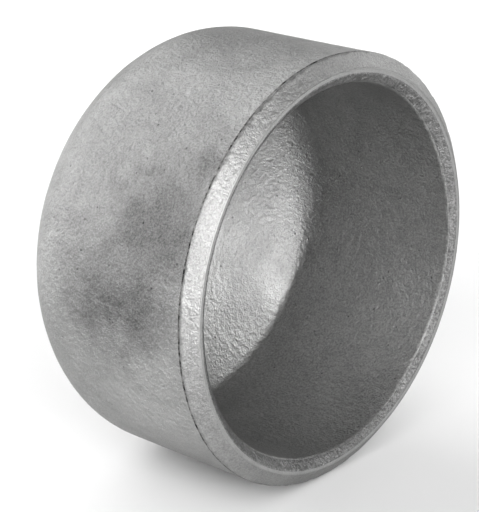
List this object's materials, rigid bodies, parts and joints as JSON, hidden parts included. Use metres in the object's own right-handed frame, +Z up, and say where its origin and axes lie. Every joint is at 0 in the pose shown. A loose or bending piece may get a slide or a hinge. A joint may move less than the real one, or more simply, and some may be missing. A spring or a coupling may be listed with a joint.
{
  "type": "pipe cap",
  "caption": "Butt-weld pipe cap: a one-piece domed end closure with a short straight wall, a bevelled weld end and a hollow inside.",
  "frame": {"origin": "centre of the weld plane, the flat root face that meets the pipe", "axes": "+X out of the mouth along the cap's axis, +Z up with the cap lying on its side"},
  "size_m": [0.076, 0.1142, 0.1142],
  "materials": {
    "blasted_steel": "grit-blasted and pickled, matt, with ground bevel and root face"
  },
  "bodies": {
    "root": {"cap_body": "blasted_steel"}
  },
  "joints": []
}
